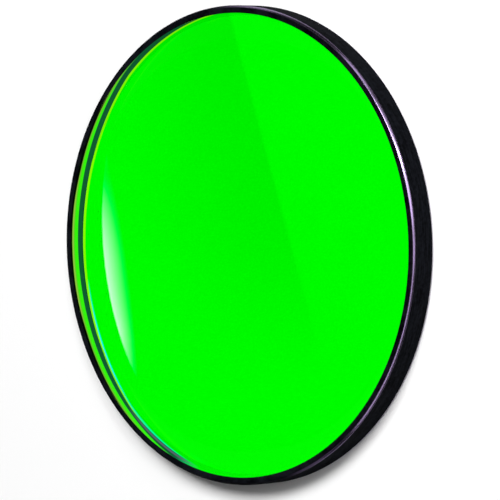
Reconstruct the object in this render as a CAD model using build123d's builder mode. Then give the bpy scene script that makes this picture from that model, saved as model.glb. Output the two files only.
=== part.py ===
# Round optical bandpass filter, unmounted: one coated glass disc with a blackened edge.
# Millimetres. The disc lies on its rear face, +Z is its optical axis and points out of its front face,
# and the origin is the middle of its underside.

import os

from build123d import *

# Driving dimensions
filter_diameter = 50.0  # over the black lacquer
filter_thickness = 3.0  # over the black lacquer on both faces
bevel_leg = 0.2  # protective bevel of the glass, 45 degrees, the same on both faces
lacquer_thickness = 0.05  # one even coat
front_margin = 0.55  # flat width of the front face that the lacquer covers, inside the bevel
rear_margin = 0.75  # the same on the rear face, where the coat runs further in
lip_round = 0.03  # rounding of the coat where it stops on a face

# The glass lies inside the coat on every side
glass_radius = filter_diameter / 2 - lacquer_thickness
glass_thickness = filter_thickness - 2 * lacquer_thickness
flat_radius = glass_radius - bevel_leg

# Half section of the glass disc, from its axis to its rim: X is the radius and Y is the height
with BuildSketch() as glass_section:
    with Locations((0, lacquer_thickness)):
        Rectangle(glass_radius, glass_thickness, align=(Align.MIN, Align.MIN))
    rim_corners = glass_section.vertices().group_by(Axis.X)[-1]
    chamfer(rim_corners, bevel_leg)

# Glass disc, polished flat on both faces
with BuildPart() as filter_glass:
    with BuildSketch(Plane.XZ):
        add(glass_section.sketch)
    revolve(axis=Axis.Z)
filter_glass.part.label = "filter_glass"

# Black lacquer, wrapped round the rim, both bevels and a margin of both faces
with BuildPart() as edge_blackening:
    with BuildSketch(Plane.XZ) as coat_section:
        # an even coat keeps its own thickness round the whole edge, also over the bevels
        add(glass_section.sketch)
        offset(amount=lacquer_thickness, kind=Kind.INTERSECTION)
        add(glass_section.sketch, mode=Mode.SUBTRACT)
        # each face stays bare inside its own margin
        for margin, towards_face in ((front_margin, Align.MIN), (rear_margin, Align.MAX)):
            bare_width = 2 * (flat_radius - margin)
            with Locations((0, filter_thickness / 2)):
                Rectangle(
                    bare_width,
                    filter_thickness / 2,
                    align=(Align.CENTER, towards_face),
                    mode=Mode.SUBTRACT,
                )
        # the open corner of each lip is rounded off
        by_height = coat_section.vertices().group_by(Axis.Y)
        lips = [by_height[0].sort_by(Axis.X)[0], by_height[-1].sort_by(Axis.X)[0]]
        fillet(lips, lip_round)
    revolve(axis=Axis.Z)
edge_blackening.part.label = "edge_blackening"

os.makedirs("parts", exist_ok=True)
export_step(filter_glass.part, "parts/filter_glass.step")
export_step(edge_blackening.part, "parts/edge_blackening.step")
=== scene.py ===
# %% [markdown]
# Optical bandpass filter, unmounted. The part is one glass disc, 50 mm across and 3 mm thick, with an
# interference coating that passes a narrow band of green, and a coat of black lacquer on its edge. It lies
# on its rear face, and the camera looks down on it from its right, through a long lens.

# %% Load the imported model
import math

import bmesh
import bpy
from mathutils import Matrix, Vector


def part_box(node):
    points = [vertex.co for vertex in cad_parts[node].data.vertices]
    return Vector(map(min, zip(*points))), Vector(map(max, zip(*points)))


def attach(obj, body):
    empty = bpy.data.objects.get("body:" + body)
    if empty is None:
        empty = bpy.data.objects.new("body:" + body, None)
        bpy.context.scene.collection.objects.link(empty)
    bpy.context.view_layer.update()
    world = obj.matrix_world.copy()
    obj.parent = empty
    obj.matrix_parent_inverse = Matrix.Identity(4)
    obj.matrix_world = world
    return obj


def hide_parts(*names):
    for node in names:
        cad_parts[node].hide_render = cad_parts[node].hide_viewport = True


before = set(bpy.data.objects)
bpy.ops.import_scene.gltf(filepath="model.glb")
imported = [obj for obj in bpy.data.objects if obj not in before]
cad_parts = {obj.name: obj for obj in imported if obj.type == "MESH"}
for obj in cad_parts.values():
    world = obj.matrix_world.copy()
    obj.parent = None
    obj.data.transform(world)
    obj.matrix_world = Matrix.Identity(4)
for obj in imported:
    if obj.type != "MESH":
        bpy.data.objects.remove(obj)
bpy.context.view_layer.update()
print("nodes:", sorted(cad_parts))

# %% [markdown]
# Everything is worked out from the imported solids, so that the looks follow the part. The boxes of the two
# nodes give the outer size and the thickness of the lacquer. The bevel and the width of the lacquer on each
# face are no edge of a box, so they are named again here, in metres. When both faces of a 45 degree bevel's
# corner move outwards, its leg grows by 2 - sqrt(2) of that distance.

# %% Sizes of the real object
MM = 0.001
leg_growth = 2 - math.sqrt(2)
coat_low, coat_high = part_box("edge_blackening")
glass_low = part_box("filter_glass")[0]
outer_radius = coat_high[0]
thickness = coat_high[2] - coat_low[2]
lacquer = glass_low[2] - coat_low[2]
glass_radius = outer_radius - lacquer
bevel = 0.2 * MM
front_margin = 0.55 * MM
rear_margin = 0.75 * MM
front_clear = glass_radius - bevel - front_margin
rear_clear = glass_radius - bevel - rear_margin
outer_bevel = bevel + lacquer * leg_growth
print(f"radius {outer_radius / MM:.2f} mm, thickness {thickness / MM:.2f} mm, lacquer {lacquer / MM:.3f} mm")

# %% [markdown]
# The photograph's outline of the disc is an ellipse, and its two half axes give the tilt. The camera stands
# in the plane of X and Z, so the disc's own +Y points up in the picture, but for a small twist. A long lens,
# from where the disc's radius is a small angle, keeps the ellipse nearly free of perspective. All of this is
# a place and a direction, and no shift is needed.

# %% Camera
picture_side = 500
face_tilt = math.radians(43.2)
twist = math.radians(2.2)
radius_px = 240.0
face_centre_px = Vector((232.6, 245.5))
radius_angle = 0.06
camera_distance = outer_radius / radius_angle
sensor = 36.0

face_centre = Vector((0, 0, thickness))
to_camera = Vector((math.sin(face_tilt), 0, math.cos(face_tilt)))
level_way = Vector((math.cos(face_tilt), 0, -math.sin(face_tilt)))
across = Vector((0, 1, 0))
picture_right = level_way * math.cos(twist) - across * math.sin(twist)
picture_up = level_way * math.sin(twist) + across * math.cos(twist)
metres_per_px = outer_radius / radius_px
off_centre = face_centre_px - Vector((picture_side / 2, picture_side / 2))
camera_place = face_centre + to_camera * camera_distance
camera_place -= picture_right * off_centre.x * metres_per_px
camera_place += picture_up * off_centre.y * metres_per_px

camera_data = bpy.data.cameras.new("camera")
camera_data.sensor_width = sensor
camera_data.lens = sensor * camera_distance / (metres_per_px * picture_side)
camera = bpy.data.objects.new("camera", camera_data)
bpy.context.scene.collection.objects.link(camera)
turn = Matrix((picture_right, picture_up, to_camera)).transposed()
camera.matrix_world = Matrix.Translation(camera_place) @ turn.to_4x4()
bpy.context.scene.camera = camera
print(f"lens {camera_data.lens:.0f} mm at {camera_distance:.3f} m")

# %% [markdown]
# Every piece starts as a bmesh, a mesh that operators can shape, and ends as an object in the scene. Both
# pieces of the filter are polished or painted, so their faces are smooth and only their true corners stay
# sharp. The normals are worked out anew at the end, because a spin or an extrusion can turn a shape inside
# out.

# %% From a bmesh to a piece
same_place = 1e-7


def new_piece(name, form):
    """Turns a bmesh into an object and puts it into the scene."""
    mesh = bpy.data.meshes.new(name)
    form.to_mesh(mesh)
    form.free()
    piece = bpy.data.objects.new(name, mesh)
    bpy.context.scene.collection.objects.link(piece)
    return piece


def smooth_piece(name, form, smooth_below):
    """The same, with smooth faces, but for edges that are sharper than an angle in degrees."""
    bmesh.ops.recalc_face_normals(form, faces=form.faces)
    piece = new_piece(name, form)
    piece.data.shade_smooth()
    piece.data.set_sharp_from_angle(angle=math.radians(smooth_below))
    print(name, len(piece.data.polygons), "faces")
    return piece


def lift(form, grown, height):
    """Moves what an extrusion made up by a height."""
    verts = [item for item in grown["geom"] if isinstance(item, bmesh.types.BMVert)]
    bmesh.ops.translate(form, verts=verts, vec=(0, 0, height))


def bevel_edges(form, edges, width, steps):
    """Cuts a bevel of an even width along the given edges."""
    bmesh.ops.bevel(form, geom=edges, offset=width, offset_type="OFFSET", affect="EDGES",
                    segments=steps, profile=0.5, material=-1)


# %% [markdown]
# The glass disc is a turned form: a circle is filled, extruded to its thickness, and its two rims get their
# 45 degree bevel. It is made a hundredth of a millimetre fuller than the solid on every side. So a ray in the
# glass meets the inside of the lacquer before it meets the glass's own wall, as it does where paint wets
# glass, and no two faces lie in one plane.

# %% Glass disc
around = 256
wetting = 0.01 * MM
rear_face = lacquer - wetting
front_face = thickness - lacquer + wetting
form = bmesh.new()
bmesh.ops.create_circle(form, cap_ends=True, segments=around, radius=glass_radius + wetting)
bmesh.ops.translate(form, verts=form.verts, vec=(0, 0, rear_face))
grown = bmesh.ops.extrude_face_region(form, geom=form.faces[:])
lift(form, grown, front_face - rear_face)
rims = [edge for edge in form.edges if abs(edge.verts[0].co.z - edge.verts[1].co.z) < same_place]
bevel_edges(form, rims, bevel + wetting * leg_growth, steps=1)
glass_disc = smooth_piece("filter_glass_disc", form, smooth_below=30)
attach(glass_disc, "root")
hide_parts("filter_glass")

# %% [markdown]
# The lacquer wraps round the edge like a very thin U. Its section is drawn once, in the plane of X and Z, as
# twelve points: six on its outside, from the lip on the front face to the lip on the rear one, and six back
# along the glass. The points come from the sizes above, so the coat fits the glass with no gap.

# %% Section of the coat
inner_top = thickness - lacquer
outer_flat = outer_radius - outer_bevel
glass_flat = glass_radius - bevel
outer_line = [(front_clear, thickness), (outer_flat, thickness), (outer_radius, thickness - outer_bevel),
              (outer_radius, outer_bevel), (outer_flat, 0.0), (rear_clear, 0.0)]
inner_line = [(rear_clear, lacquer), (glass_flat, lacquer), (glass_radius, lacquer + bevel),
              (glass_radius, inner_top - bevel), (glass_flat, inner_top), (front_clear, inner_top)]
section = outer_line + inner_line
lips = [outer_line[0], outer_line[-1]]
corners = outer_line[1:-1]
print("section of the coat:", len(section), "points")

# %% [markdown]
# Spun once round the optical axis, the section becomes the whole coat. Lacquer rounds off as it dries, so its
# four corners get a small bevel in three steps, which catches the light, and its two lips one in two steps.
# The edges to round are found by the circle that they run along.

# %% Edge blackening
lip_round = 0.02 * MM
corner_round = 0.05 * MM


def at_ring(edge, radius, height):
    """True if an edge is part of the circle of that radius and height."""
    return all(math.hypot(math.hypot(v.co.x, v.co.y) - radius, v.co.z - height) < same_place
               for v in edge.verts)


def round_rings(form, rings, width, steps):
    """Bevels the edges that run along the given circles."""
    edges = [edge for edge in form.edges if any(at_ring(edge, *ring) for ring in rings)]
    bevel_edges(form, edges, width, steps)


form = bmesh.new()
verts = [form.verts.new((x, 0, z)) for x, z in section]
loop = [form.edges.new((a, b)) for a, b in zip(verts, verts[1:] + verts[:1])]
bmesh.ops.spin(form, geom=verts + loop, cent=(0, 0, 0), axis=(0, 0, 1), angle=math.tau,
               steps=around, use_merge=True, use_duplicate=False)
bmesh.ops.remove_doubles(form, verts=form.verts, dist=same_place)
round_rings(form, corners, corner_round, steps=3)
round_rings(form, lips, lip_round, steps=2)
coat = smooth_piece("edge_blackening_coat", form, smooth_below=35)
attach(coat, "root")
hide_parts("edge_blackening")

# %% [markdown]
# Shader maths reads best as plain expressions. One small class wraps a socket, and each operator on it adds
# the Math node that does the sum. All nodes come from one function, which takes a node's type, makes its
# settings first, and then gives its inputs their values or links.

# %% A socket that does sums
def plug(tree, slot, value):
    """Gives a socket a link or a plain value."""
    if isinstance(value, Value):
        tree.links.new(value.socket, slot)
    else:
        slot.default_value = value


def add_node(tree, kind, settings=(), inputs=()):
    """Adds a node. Its inputs go by their names or their numbers."""
    made = tree.nodes.new(kind)
    for name, value in dict(settings).items():
        setattr(made, name, value)
    for name, value in dict(inputs).items():
        plug(tree, made.inputs[name], value)
    return made


class Value:
    """An output socket of a node tree, which adds Math nodes when it is used in an expression."""

    def __init__(self, tree, socket):
        self.tree, self.socket = tree, socket

    def math(self, operation, *others, clamp=False):
        settings = {"operation": operation, "use_clamp": clamp}
        made = add_node(self.tree, "ShaderNodeMath", settings, enumerate((self, *others)))
        return Value(self.tree, made.outputs[0])

    def __add__(self, other):
        return self.math("ADD", other)

    def __sub__(self, other):
        return self.math("SUBTRACT", other)

    def __rsub__(self, other):
        return (self * -1.0) + other

    def __mul__(self, other):
        return self.math("MULTIPLY", other)

    def __truediv__(self, other):
        return self.math("DIVIDE", other)

    def __rtruediv__(self, other):
        return self.math("POWER", -1.0) * other

    __radd__, __rmul__ = __add__, __mul__

    def limit(self):
        """The same value, held between 0 and 1."""
        return self.math("ADD", 0.0, clamp=True)

    def step(self, low, high):
        """0 below low and 1 above high, with a smooth rise between them."""
        inputs = {"Value": self, "From Min": low, "From Max": high}
        made = add_node(self.tree, "ShaderNodeMapRange", {"interpolation_type": "SMOOTHSTEP"}, inputs)
        return Value(self.tree, made.outputs["Result"])


# %% [markdown]
# A material is a node tree with one shader, and this class keeps its coordinates at hand. The distance from
# the optical axis and the height are all that a turned part needs to know where on its section a point lies.
# A Mix node has a set of sockets for each kind of data, so those for colours are named by their numbers.

# %% A material that knows the section of a round part
BLACK = (0.0, 0.0, 0.0, 1.0)
WHITE = (1.0, 1.0, 1.0, 1.0)
MIX_SHARE, MIX_FIRST, MIX_SECOND, MIX_RESULT = 0, 6, 7, 2


class Finish:
    """A new material, with the piece's own coordinates in millimetres as x, y, z and radius."""

    def __init__(self, name):
        self.material = bpy.data.materials.new(name)
        self.material.use_nodes = True
        self.tree = self.material.node_tree
        self.shader = self.tree.nodes["Principled BSDF"]
        place = self.node("ShaderNodeTexCoord", "Object")
        parts = add_node(self.tree, "ShaderNodeSeparateXYZ", {}, {"Vector": place})
        self.x, self.y, self.z = (Value(self.tree, parts.outputs[axis]) * (1 / MM) for axis in "XYZ")
        self.radius = (self.x * self.x + self.y * self.y).math("SQRT")

    def node(self, kind, output, settings=(), inputs=()):
        """One output of a new node of any type."""
        return Value(self.tree, add_node(self.tree, kind, settings, inputs).outputs[output])

    def spread(self, per_x, per_y, per_z, turn=0.0):
        """The place, turned about the axis and stretched to so many cells to a millimetre each way."""
        along = self.x * math.cos(turn) + self.y * math.sin(turn)
        across = self.y * math.cos(turn) - self.x * math.sin(turn)
        cells = {"X": along * per_x, "Y": across * per_y, "Z": self.z * per_z}
        return self.node("ShaderNodeCombineXYZ", 0, {}, cells)

    def noise(self, place, detail):
        """Smooth noise between 0 and 1, with cells about one unit wide."""
        return self.node("ShaderNodeTexNoise", 0, {}, {"Vector": place, "Scale": 1.0, "Detail": detail})

    def blend(self, first, second, share):
        """A colour that goes from first to second as share goes from 0 to 1."""
        inputs = {MIX_SHARE: share, MIX_FIRST: first, MIX_SECOND: second}
        return self.node("ShaderNodeMix", MIX_RESULT, {"data_type": "RGBA"}, inputs)

    def layered(self, colour, layers):
        """A colour under further ones, each laid over the last with its own share."""
        for over, share in layers:
            colour = self.blend(colour, over, share)
        return colour

    def set(self, **values):
        """Sets the shader's sockets. An underscore stands for a space in their names."""
        for name, value in values.items():
            plug(self.tree, self.shader.inputs[name.replace("_", " ")], value)


# %% [markdown]
# The green isn't in the glass. An interference coating on the clear disc passes one narrow band and throws
# the rest back. A shader with a full transmission weight shows it: light takes the colour of the skin that it
# goes in and out by, so the tint sits on the front and on the rear skin. The rim of the front stays clear,
# where the coating stops short of the lacquer. Blue-green, yellow-green and dark green are for thin rings on
# the rear.

# %% Colours of the coating
coated = Finish("coated_glass")
coating_stop = 21.5
green = (0.0, 1.0, 0.0, 1.0)
clear_rim = (0.85, 1.0, 0.85, 1.0)
lime = (0.075, 1.0, 0.0, 1.0)
cyan = (0.0, 0.95, 0.75, 1.0)
teal_skin = (0.0, 0.011, 0.0012, 1.0)
print("coating drawn to a radius of", coating_stop, "mm")

# %% [markdown]
# The rings follow one another outwards: blue-green, yellow-green, dark green, and then a bright green on the
# lacquer. Each place is in millimetres outwards from the edge of the bare rear face. All of them lie furthest
# in at the middle of the -X side and drift outwards from there, the first three up to a limit. The
# yellow-green ring thins out on the way. On the -Y half it does so sooner, and the limit and the bright
# ring's drift are cut.

# %% Where the rings lie
ring_softness = 0.03
half_softness = 2.0
drift = 2.3
drift_limit, drift_limit_cut = 0.84, 0.14
teal_lead = 0.3
lime_width = 0.39
lime_thinning, lime_thinning_low = 0.35, 0.55
cyan_width = 0.2
bright_start = 0.6
bright_drift, bright_drift_cut = 1.6, 0.9


def past(distance, start):
    """0 before the start of a ring and 1 past it, with a soft edge."""
    return (distance - start).step(-ring_softness, ring_softness)


def facing(finish):
    """1 on the -X side of the disc, falling to 0 a quarter turn from there."""
    return (0 - finish.x / (outer_radius / MM)).limit()


def ring_places(finish):
    """Where each ring starts."""
    away = 1 - facing(finish)
    low_half = (0 - finish.y).step(-half_softness, half_softness)
    shift = (away * drift).math("MINIMUM", drift_limit - drift_limit_cut * low_half)
    teal_start = shift - teal_lead
    lime_start = teal_start - lime_width + away * (lime_thinning + lime_thinning_low * low_half)
    bright_place = bright_start + away * (bright_drift - bright_drift_cut * low_half)
    return {"cyan": lime_start - cyan_width, "lime": lime_start, "teal": teal_start, "bright": bright_place}


print("widths on the -X side in mm: blue-green", cyan_width, "and yellow-green", lime_width)

# %% [markdown]
# A coating is never quite even. It grows as the disc turns over the source, which leaves a tone that drifts
# across the face and very fine streaks, and both are kept at one or two parts in a hundred. Noise on
# stretched coordinates draws the streaks. One side of a slanting line is also a little darker: that is
# painted shade, which stands in for the reflection of a darker part of the studio. The line is soft, and the
# painted shade fades away from it and towards its lower end.

# %% Evenness of the coating, and a painted shade
streak_turn = math.radians(35)
line_place = 7.8
line_across_x, line_across_y = 0.956, 0.293
line_softness = 0.35
painted_shade_width = 24.0
painted_shade_foot = (-16.0, 4.0)
plain_depth, painted_shade_depth = 0.02, 0.12
streak_depth, cloud_depth = 0.022, 0.01
depth_gain = 1.6

streaks = coated.noise(coated.spread(per_x=0.25, per_y=2.2, per_z=0.0, turn=streak_turn), detail=3.0)
clouds = coated.noise(coated.spread(per_x=0.12, per_y=0.12, per_z=0.0), detail=2.0)
from_line = line_place - coated.x * line_across_x - coated.y * line_across_y
# Painted shade: the -X side of the slanting line is made darker, in place of the reflection of a darker part
# of the studio.
painted_shade_side = from_line.step(-line_softness, line_softness) * (1 - from_line.step(0.0, painted_shade_width))
painted_shade_side = painted_shade_side * coated.y.step(*painted_shade_foot)
tone_and_painted_shade = plain_depth + painted_shade_side * painted_shade_depth + (streaks - 0.5) * streak_depth + (clouds - 0.5) * cloud_depth
darkening_and_painted_shade = tone_and_painted_shade.limit() * depth_gain
print("evenness of the coating:", len(coated.tree.nodes), "nodes so far")

# %% [markdown]
# The two skins of one disc are told apart by their height, and the rings by their distance from the axis.
# The blue-green ring shows on the lower left only, so it has a share of its own. The clouds give the polish
# a very slight haze.

# %% Finish of the glass
middle = thickness / 2 / MM
skin_change = 0.01
rim_softness = 0.1
low_left_y, low_left_facing = (3.0, 9.0), (0.27, 0.42)
haze = 0.012
glass_index = 1.52

front_side = coated.z.step(middle - skin_change, middle + skin_change)
past_coating = coated.radius.step(coating_stop - rim_softness, coating_stop + rim_softness)
# The streaks, the drifting tone and the painted shade darken the front tint.
front_tint = coated.layered(green, [(clear_rim, past_coating), (BLACK, darkening_and_painted_shade)])
low_left = (0 - coated.y).step(*low_left_y) * facing(coated).step(*low_left_facing)
starts = ring_places(coated)
from_clear = coated.radius - rear_clear / MM
rear_tint = coated.layered(green, [
    (cyan, past(from_clear, starts["cyan"]) * low_left),
    (lime, past(from_clear, starts["lime"])),
    (teal_skin, past(from_clear, starts["teal"]))])
coated.set(Base_Color=coated.blend(rear_tint, front_tint, front_side), Roughness=clouds.limit() * haze)
coated.set(IOR=glass_index, Transmission_Weight=1.0)
glass_disc.data.materials.append(coated.material)
print("glass finish:", len(coated.tree.nodes), "nodes")

# %% [markdown]
# The lacquer is near black, so its look comes from small differences. Brushed on while the disc turned, it
# dried with fine lines round the edge and a slight orange peel. Both come from noise on the piece's own
# coordinates: long in the way of the brush, and short across it. A bump so small is felt only in the gloss.

# %% Brush lines and orange peel
blackened = Finish("black_lacquer")
brush_share, peel_share = 0.65, 0.35
relief_strength, relief_height = 0.1, 0.004 * MM

brush_lines = blackened.noise(blackened.spread(per_x=0.45, per_y=0.45, per_z=7.0), detail=4.0)
peel = blackened.noise(blackened.spread(per_x=3.0, per_y=3.0, per_z=3.0), detail=2.0)
grain = brush_lines * brush_share + peel * peel_share
bump = {"Strength": relief_strength, "Distance": relief_height, "Height": grain}
relief = blackened.node("ShaderNodeBump", "Normal", {}, bump)
print(f"relief of {relief_height / MM:.3f} mm at a strength of {relief_strength}")

# %% [markdown]
# Seen through the glass, the inside of the lacquer isn't black on the real filter. Green light that the
# coated faces throw to and fro runs out to the ground edge and leaves there. A renderer would need very many
# bounces for it, so the inside of the coat gives off that light itself. A mask first picks out the inside:
# what lies on the glass's side of the middle of the coat, on the wall, on both faces and on both bevels.

# %% Where the lacquer touches the glass
mask_softness = 0.005
bevel_inside = (0.04, 0.03)
half_coat = lacquer / MM / 2
rim_inside = glass_radius / MM + half_coat
face_inside = middle - half_coat
chamfer_line = (outer_radius + thickness / 2 - outer_bevel) / MM

from_middle = (blackened.z - middle).math("ABSOLUTE")
slope = blackened.radius + from_middle
inside = 1 - blackened.radius.step(rim_inside - mask_softness, rim_inside + mask_softness)
inside = inside * (1 - from_middle.step(face_inside - mask_softness, face_inside + mask_softness))
inside = inside * (1 - slope.step(chamfer_line - bevel_inside[0], chamfer_line - bevel_inside[1]))
print("light inside the coat ends at a radius of", round(rim_inside, 3), "mm")

# %% [markdown]
# The light comes in bands, the same rings as on the glass and then bright green, leaf green and tan up the
# wall. A ray slants outwards in the glass, so a point up the wall counts as further out, by a share of its
# height. Towards the -Y end the yellow-green ring stops, and the dark green one goes on for a short piece
# only, with a lilac line in it.

# %% Light on the inside of the lacquer
face_light = (0.0, 0.93, 0.0, 1.0)
sea_light = (0.0, 0.98, 0.38, 1.0)
lime_light = (0.27, 0.98, 0.0, 1.0)
teal_light = (0.005, 0.105, 0.034, 1.0)
lilac_light = (0.11, 0.13, 0.17, 1.0)
bright_light = (0.038, 0.95, 0.003, 1.0)
leaf_light = (0.127, 0.61, 0.023, 1.0)
tan_light = (0.342, 0.63, 0.067, 1.0)
slant = 0.504
low_end_y, sea_y, left_facing = (16.5, 19.5), (8.0, 12.0), (0.3, 0.46)
lilac_from, lilac_to = 0.08, 0.3
leaf_band, tan_band = (1.07, 1.2), (1.2, 1.33)
light_stop, light_stop_left, stop_facing = 1.24, 0.16, (0.93, 0.99)
stop_softness = 0.12

starts = ring_places(blackened)
on_left = facing(blackened)
from_clear = blackened.radius - rear_clear / MM + on_left * blackened.z * slant
low_end = (0 - blackened.y).step(*low_end_y)
low_piece = low_end * on_left.step(*left_facing)
sea_part = (0 - blackened.y).step(*sea_y) * on_left.step(*left_facing)
past_teal = past(from_clear, starts["teal"])
lilac_line = past(from_clear, starts["teal"] + lilac_from) * (1 - past(from_clear, starts["teal"] + lilac_to))
past_light = from_clear - (light_stop + light_stop_left * on_left.step(*stop_facing))
inner_light = blackened.layered(face_light, [
    (sea_light, past(from_clear, starts["cyan"]) * sea_part),
    (lime_light, past(from_clear, starts["lime"]) * (1 - low_end)),
    (teal_light, past_teal * (1 - low_end + low_piece)),
    (lilac_light, lilac_line * low_piece),
    (bright_light, past(from_clear, starts["bright"])),
    (leaf_light, from_clear.step(*leaf_band)),
    (tan_light, from_clear.step(*tan_band)),
    (BLACK, past_light.step(0.0, stop_softness)),
    (BLACK, 1 - inside)])
blackened.set(Emission_Color=inner_light, Emission_Strength=1.0)
print("light inside the coat:", len(blackened.tree.nodes), "nodes so far")

# %% [markdown]
# Where the lacquer runs over the bevel it seems thin enough for the coated glass to shine through, so the
# bevel has the faint violet that a green coating throws back. Metallic gives a reflection its own colour, and
# a clear coat over it keeps the brightest ones white. The violet, the metal, the polish and the full clear
# coat are kept to the +X side, which the bevel's lamps light, and the -X side of the bevel is left dull
# black: that is painted shade. The wall's own gloss is the same clear coat at a small weight, broken by the
# brush lines.

# %% Finish of the lacquer
deepest_black, palest_black = (0.0010, 0.0012, 0.0018, 1.0), (0.0066, 0.0074, 0.0104, 1.0)
grain_contrast = (0.35, 0.65)
violet = (0.165, 0.110, 0.232, 1.0)
bevel_outside = (0.018, 0.004)
violet_lean, violet_rise = 0.15, (2.0, 12.0)
satin, satin_grain, bevel_polish = 0.24, 0.12, 0.4
gloss, gloss_grain = 0.01, 0.04
coat_roughness, coat_index = 0.24, 1.5

on_bevel = slope.step(chamfer_line - bevel_outside[0], chamfer_line - bevel_outside[1])
# Painted shade: the violet metal finish is kept to the lit +X side, so the -X side of the bevel stays dark.
lit_side_bevel = on_bevel * (blackened.x + blackened.y * violet_lean).step(*violet_rise)
black = blackened.blend(deepest_black, palest_black, grain.step(*grain_contrast))
roughness = (satin + grain * satin_grain) * (1 - lit_side_bevel * bevel_polish)
clear_coat = lit_side_bevel.math("MAXIMUM", gloss + grain * gloss_grain)
blackened.set(Base_Color=blackened.blend(black, violet, lit_side_bevel), Metallic=lit_side_bevel)
blackened.set(Roughness=roughness, Specular_IOR_Level=0.0, Normal=relief)
blackened.set(Coat_Weight=clear_coat, Coat_Roughness=coat_roughness, Coat_IOR=coat_index)
coat.data.materials.append(blackened.material)
print("lacquer finish:", len(blackened.tree.nodes), "nodes")

# %% [markdown]
# The floor and the backdrop are one round sheet with its rim turned up, as a studio's paper sweep. Its low
# wall fills the picture in a level view, and it is too low to show in the bevel seen from above. It rides on
# nothing, and is no part of the model.

# %% Floor and backdrop
sweep_radius = 0.9
sweep_segments = 96
wall_height = 0.1
form = bmesh.new()
bmesh.ops.create_circle(form, cap_ends=True, segments=sweep_segments, radius=sweep_radius)
rim_edges = [edge for edge in form.edges if edge.is_boundary]
grown = bmesh.ops.extrude_edge_only(form, edges=rim_edges)
lift(form, grown, wall_height)
floor = new_piece("floor", form)
print("floor", round(sweep_radius * 2, 2), "m across")

# %% [markdown]
# The paper is white and the lamps light it. Further from the part it also gives off white itself to the
# camera, to reflections and through the glass, so that the background stays even and the glass has something
# bright behind it. Close to the part that share falls to nothing, and the part keeps its shadow. Through the
# glass the paper shows that white alone, so the colour is as even as the coating.

# %% Finish of the floor
paper_white = (0.9, 0.9, 0.9, 1.0)
shadow_zone = (45.0, 200.0)
white_through_glass = 1.09


def add_glow(finish, strength, colour=WHITE):
    """Adds light that the surface gives off itself to what its shader gives."""
    glow = finish.node("ShaderNodeEmission", 0, {}, {"Strength": strength, "Color": colour})
    shaders = {0: Value(finish.tree, finish.shader.outputs[0]), 1: glow}
    both = finish.node("ShaderNodeAddShader", 0, {}, shaders)
    plug(finish.tree, finish.tree.nodes["Material Output"].inputs["Surface"], both)


pale = Finish("pale_floor")
is_camera = pale.node("ShaderNodeLightPath", "Is Camera Ray")
is_glossy = pale.node("ShaderNodeLightPath", "Is Glossy Ray")
is_through = pale.node("ShaderNodeLightPath", "Is Transmission Ray")
seen = (is_camera + is_glossy).limit()
share = seen * pale.radius.step(*shadow_zone) + is_through * white_through_glass
pale.set(Base_Color=pale.blend(paper_white, BLACK, is_through), Roughness=1.0, Specular_IOR_Level=0.0)
add_glow(pale, share)
floor.data.materials.append(pale.material)
print("floor finish:", len(pale.tree.nodes), "nodes")

# %% [markdown]
# A lamp's shape is seen in whatever is glossy, so each lamp here is placed for what it draws. The key is a
# big soft disc high on the +Y side. It lights the paper and throws the soft shadow down the picture. The
# bevel is one thin mirror all round, and the camera sees each part of it look another way, on an arc over the
# +X side. The lamps on that arc draw its line: a strip for the lower half, soft discs for the middle and the
# top, and one small bright disc among them for the glint. Each is given by its direction from the disc, by
# how bright its surface is, and by its size, so that a larger lamp is no brighter in a reflection.

# %% Lamps
lamp_distance = 0.8


def softbox(name, direction, radiance, size, long_side=None, along=(0, 0, 1)):
    """An area lamp that looks at the middle of the disc: round, or a strip with its long side one way."""
    lamp = bpy.data.lights.new(name, "AREA")
    lamp.shape = "RECTANGLE" if long_side else "DISK"
    lamp.size = long_side or size
    if long_side:
        lamp.size_y = size
    area = size * long_side if long_side else math.pi * size * size / 4
    lamp.energy = radiance * math.pi * area
    way = Vector(direction).normalized()
    side = (Vector(along) - way * way.dot(Vector(along))).normalized()
    holder = bpy.data.objects.new(name, lamp)
    bpy.context.scene.collection.objects.link(holder)
    turn = Matrix((side, way.cross(side), way)).transposed()
    holder.matrix_world = Matrix.Translation(way * lamp_distance) @ turn.to_4x4()
    print(f"{name}: {lamp.energy:.2f} W")


softbox("key_softbox", direction=(0.280, 0.460, 0.840), radiance=21.5, size=0.35)
softbox("strip_light", direction=(0.522, -0.562, 0.642), radiance=2.8, size=0.09,
        long_side=1.1, along=(0.587, 0.782, 0.209))
softbox("low_softbox", direction=(0.729, 0.000, 0.684), radiance=1.6, size=0.24)
softbox("side_softbox", direction=(0.690, 0.255, 0.675), radiance=4.6, size=0.27)
softbox("upper_softbox", direction=(0.500, 0.620, 0.600), radiance=1.2, size=0.28)
softbox("top_softbox", direction=(0.205, 0.842, 0.499), radiance=2.5, size=0.22)
softbox("glint_lamp", direction=(0.610, 0.455, 0.650), radiance=34.0, size=0.11)

# %% [markdown]
# A flat glossy face mirrors one small patch of the studio. The bright crescent on its left is the edge of a
# curved white card there. The card stands where the mirror image of the camera's view through the front face
# falls on it, so its outline is drawn in the picture's own measure. It shows only in reflections, as a card
# just outside the picture would.

# %% Place of the reflector card
def mirrored(way):
    """A direction as the front face mirrors it."""
    return Vector((way.x, way.y, -way.z))


card_behind = 0.35
card_step = (camera_distance + card_behind) / (camera_distance / metres_per_px)
image_place = Vector((camera_place.x, camera_place.y, 2 * thickness - camera_place.z))
card_centre = image_place - mirrored(to_camera) * (camera_distance + card_behind)
form = bmesh.new()
bmesh.ops.create_grid(form, x_segments=1, y_segments=1, size=picture_side / 2 * card_step)
card = new_piece("reflector_card", form)
turn = Matrix((mirrored(picture_right), mirrored(picture_up), -mirrored(to_camera))).transposed()
card.matrix_world = Matrix.Translation(card_centre) @ turn.to_4x4()
card.visible_camera = card.visible_diffuse = card.visible_transmission = card.visible_shadow = False
print("card at", [round(value, 3) for value in card_centre])

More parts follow.
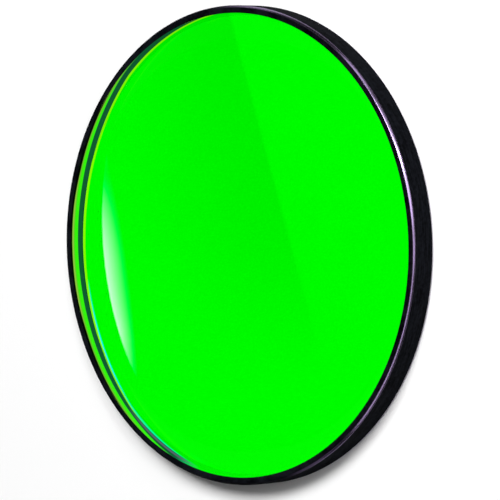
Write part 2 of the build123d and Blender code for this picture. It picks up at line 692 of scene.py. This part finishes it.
# %% [markdown]
# The card's light is drawn in pixels to the right and down. Its sharp edge is one side of an ellipse, and its
# soft edge a slanting line with a slight bulge. The light is strongest at the sharp edge, fades towards the
# soft one, and fades out at both ends. Where it is weak it turns blue-green, because a coating for green
# light throws back the least red, and the coating itself can't be asked for that in this shader. So red gets
# one unit of light less than green and blue.

# %% Finish of the reflector card
ellipse_right, ellipse_down = 240.0, 215.0
ellipse_half_width, ellipse_half_height = 138.0, 246.0
soft_right, soft_down, soft_slant = 108.0, 160.0, 0.14
bulge, bulge_down, bulge_half_height = 4.5, 262.0, 110.0
edge_softness, thinnest, full_width = 0.7, 0.5, (0.2, 3.0)
top_fade, top_light, foot_fade = (170.0, 265.0), 0.02, (322.0, 380.0)
fade_power, card_light = 1.75, 12.2
faintest = 0.01
blue_green = (0.0, 1.0, 1.0, 1.0)

paper = Finish("reflector_card")
paper.set(Base_Color=BLACK, Roughness=1.0, Specular_IOR_Level=0.0)
right_px = paper.x * (MM / card_step) + picture_side / 2
down_px = picture_side / 2 - paper.y * (MM / card_step)
bow = (down_px - ellipse_down) * (1 / ellipse_half_height)
hard_edge = ellipse_right - ellipse_half_width * (1 - bow * bow).limit().math("SQRT")
lean = (down_px - bulge_down) * (1 / bulge_half_height)
soft_edge = soft_right + (down_px - soft_down) * soft_slant + bulge * (1 - lean * lean)
from_edge = right_px - hard_edge
width = soft_edge - hard_edge
fade = (1 - from_edge / width.math("MAXIMUM", thinnest)).limit()
lit = from_edge.step(-edge_softness, edge_softness) * width.step(*full_width)
lit = lit * (top_light + (1 - top_light) * down_px.step(*top_fade)) * (1 - down_px.step(*foot_fade))
light = fade.math("POWER", fade_power) * lit * card_light
red_share = (1 - 1.0 / light.math("MAXIMUM", faintest)).limit()
add_glow(paper, light, paper.blend(blue_green, WHITE, red_share))
card.data.materials.append(paper.material)
print("card finish:", len(paper.tree.nodes), "nodes")

# %% [markdown]
# The world is a dim white, enough to keep a shadow from going black, and dark enough not to wash out the
# glass.

# %% World
dim = 0.02
world = bpy.data.worlds.new("studio")
bpy.context.scene.world = world
world.use_nodes = True
sky = world.node_tree.nodes["Background"]
sky.inputs["Color"].default_value = WHITE
sky.inputs["Strength"].default_value = dim
bpy.context.scene.view_settings.view_transform = "Standard"
print("world strength", dim)
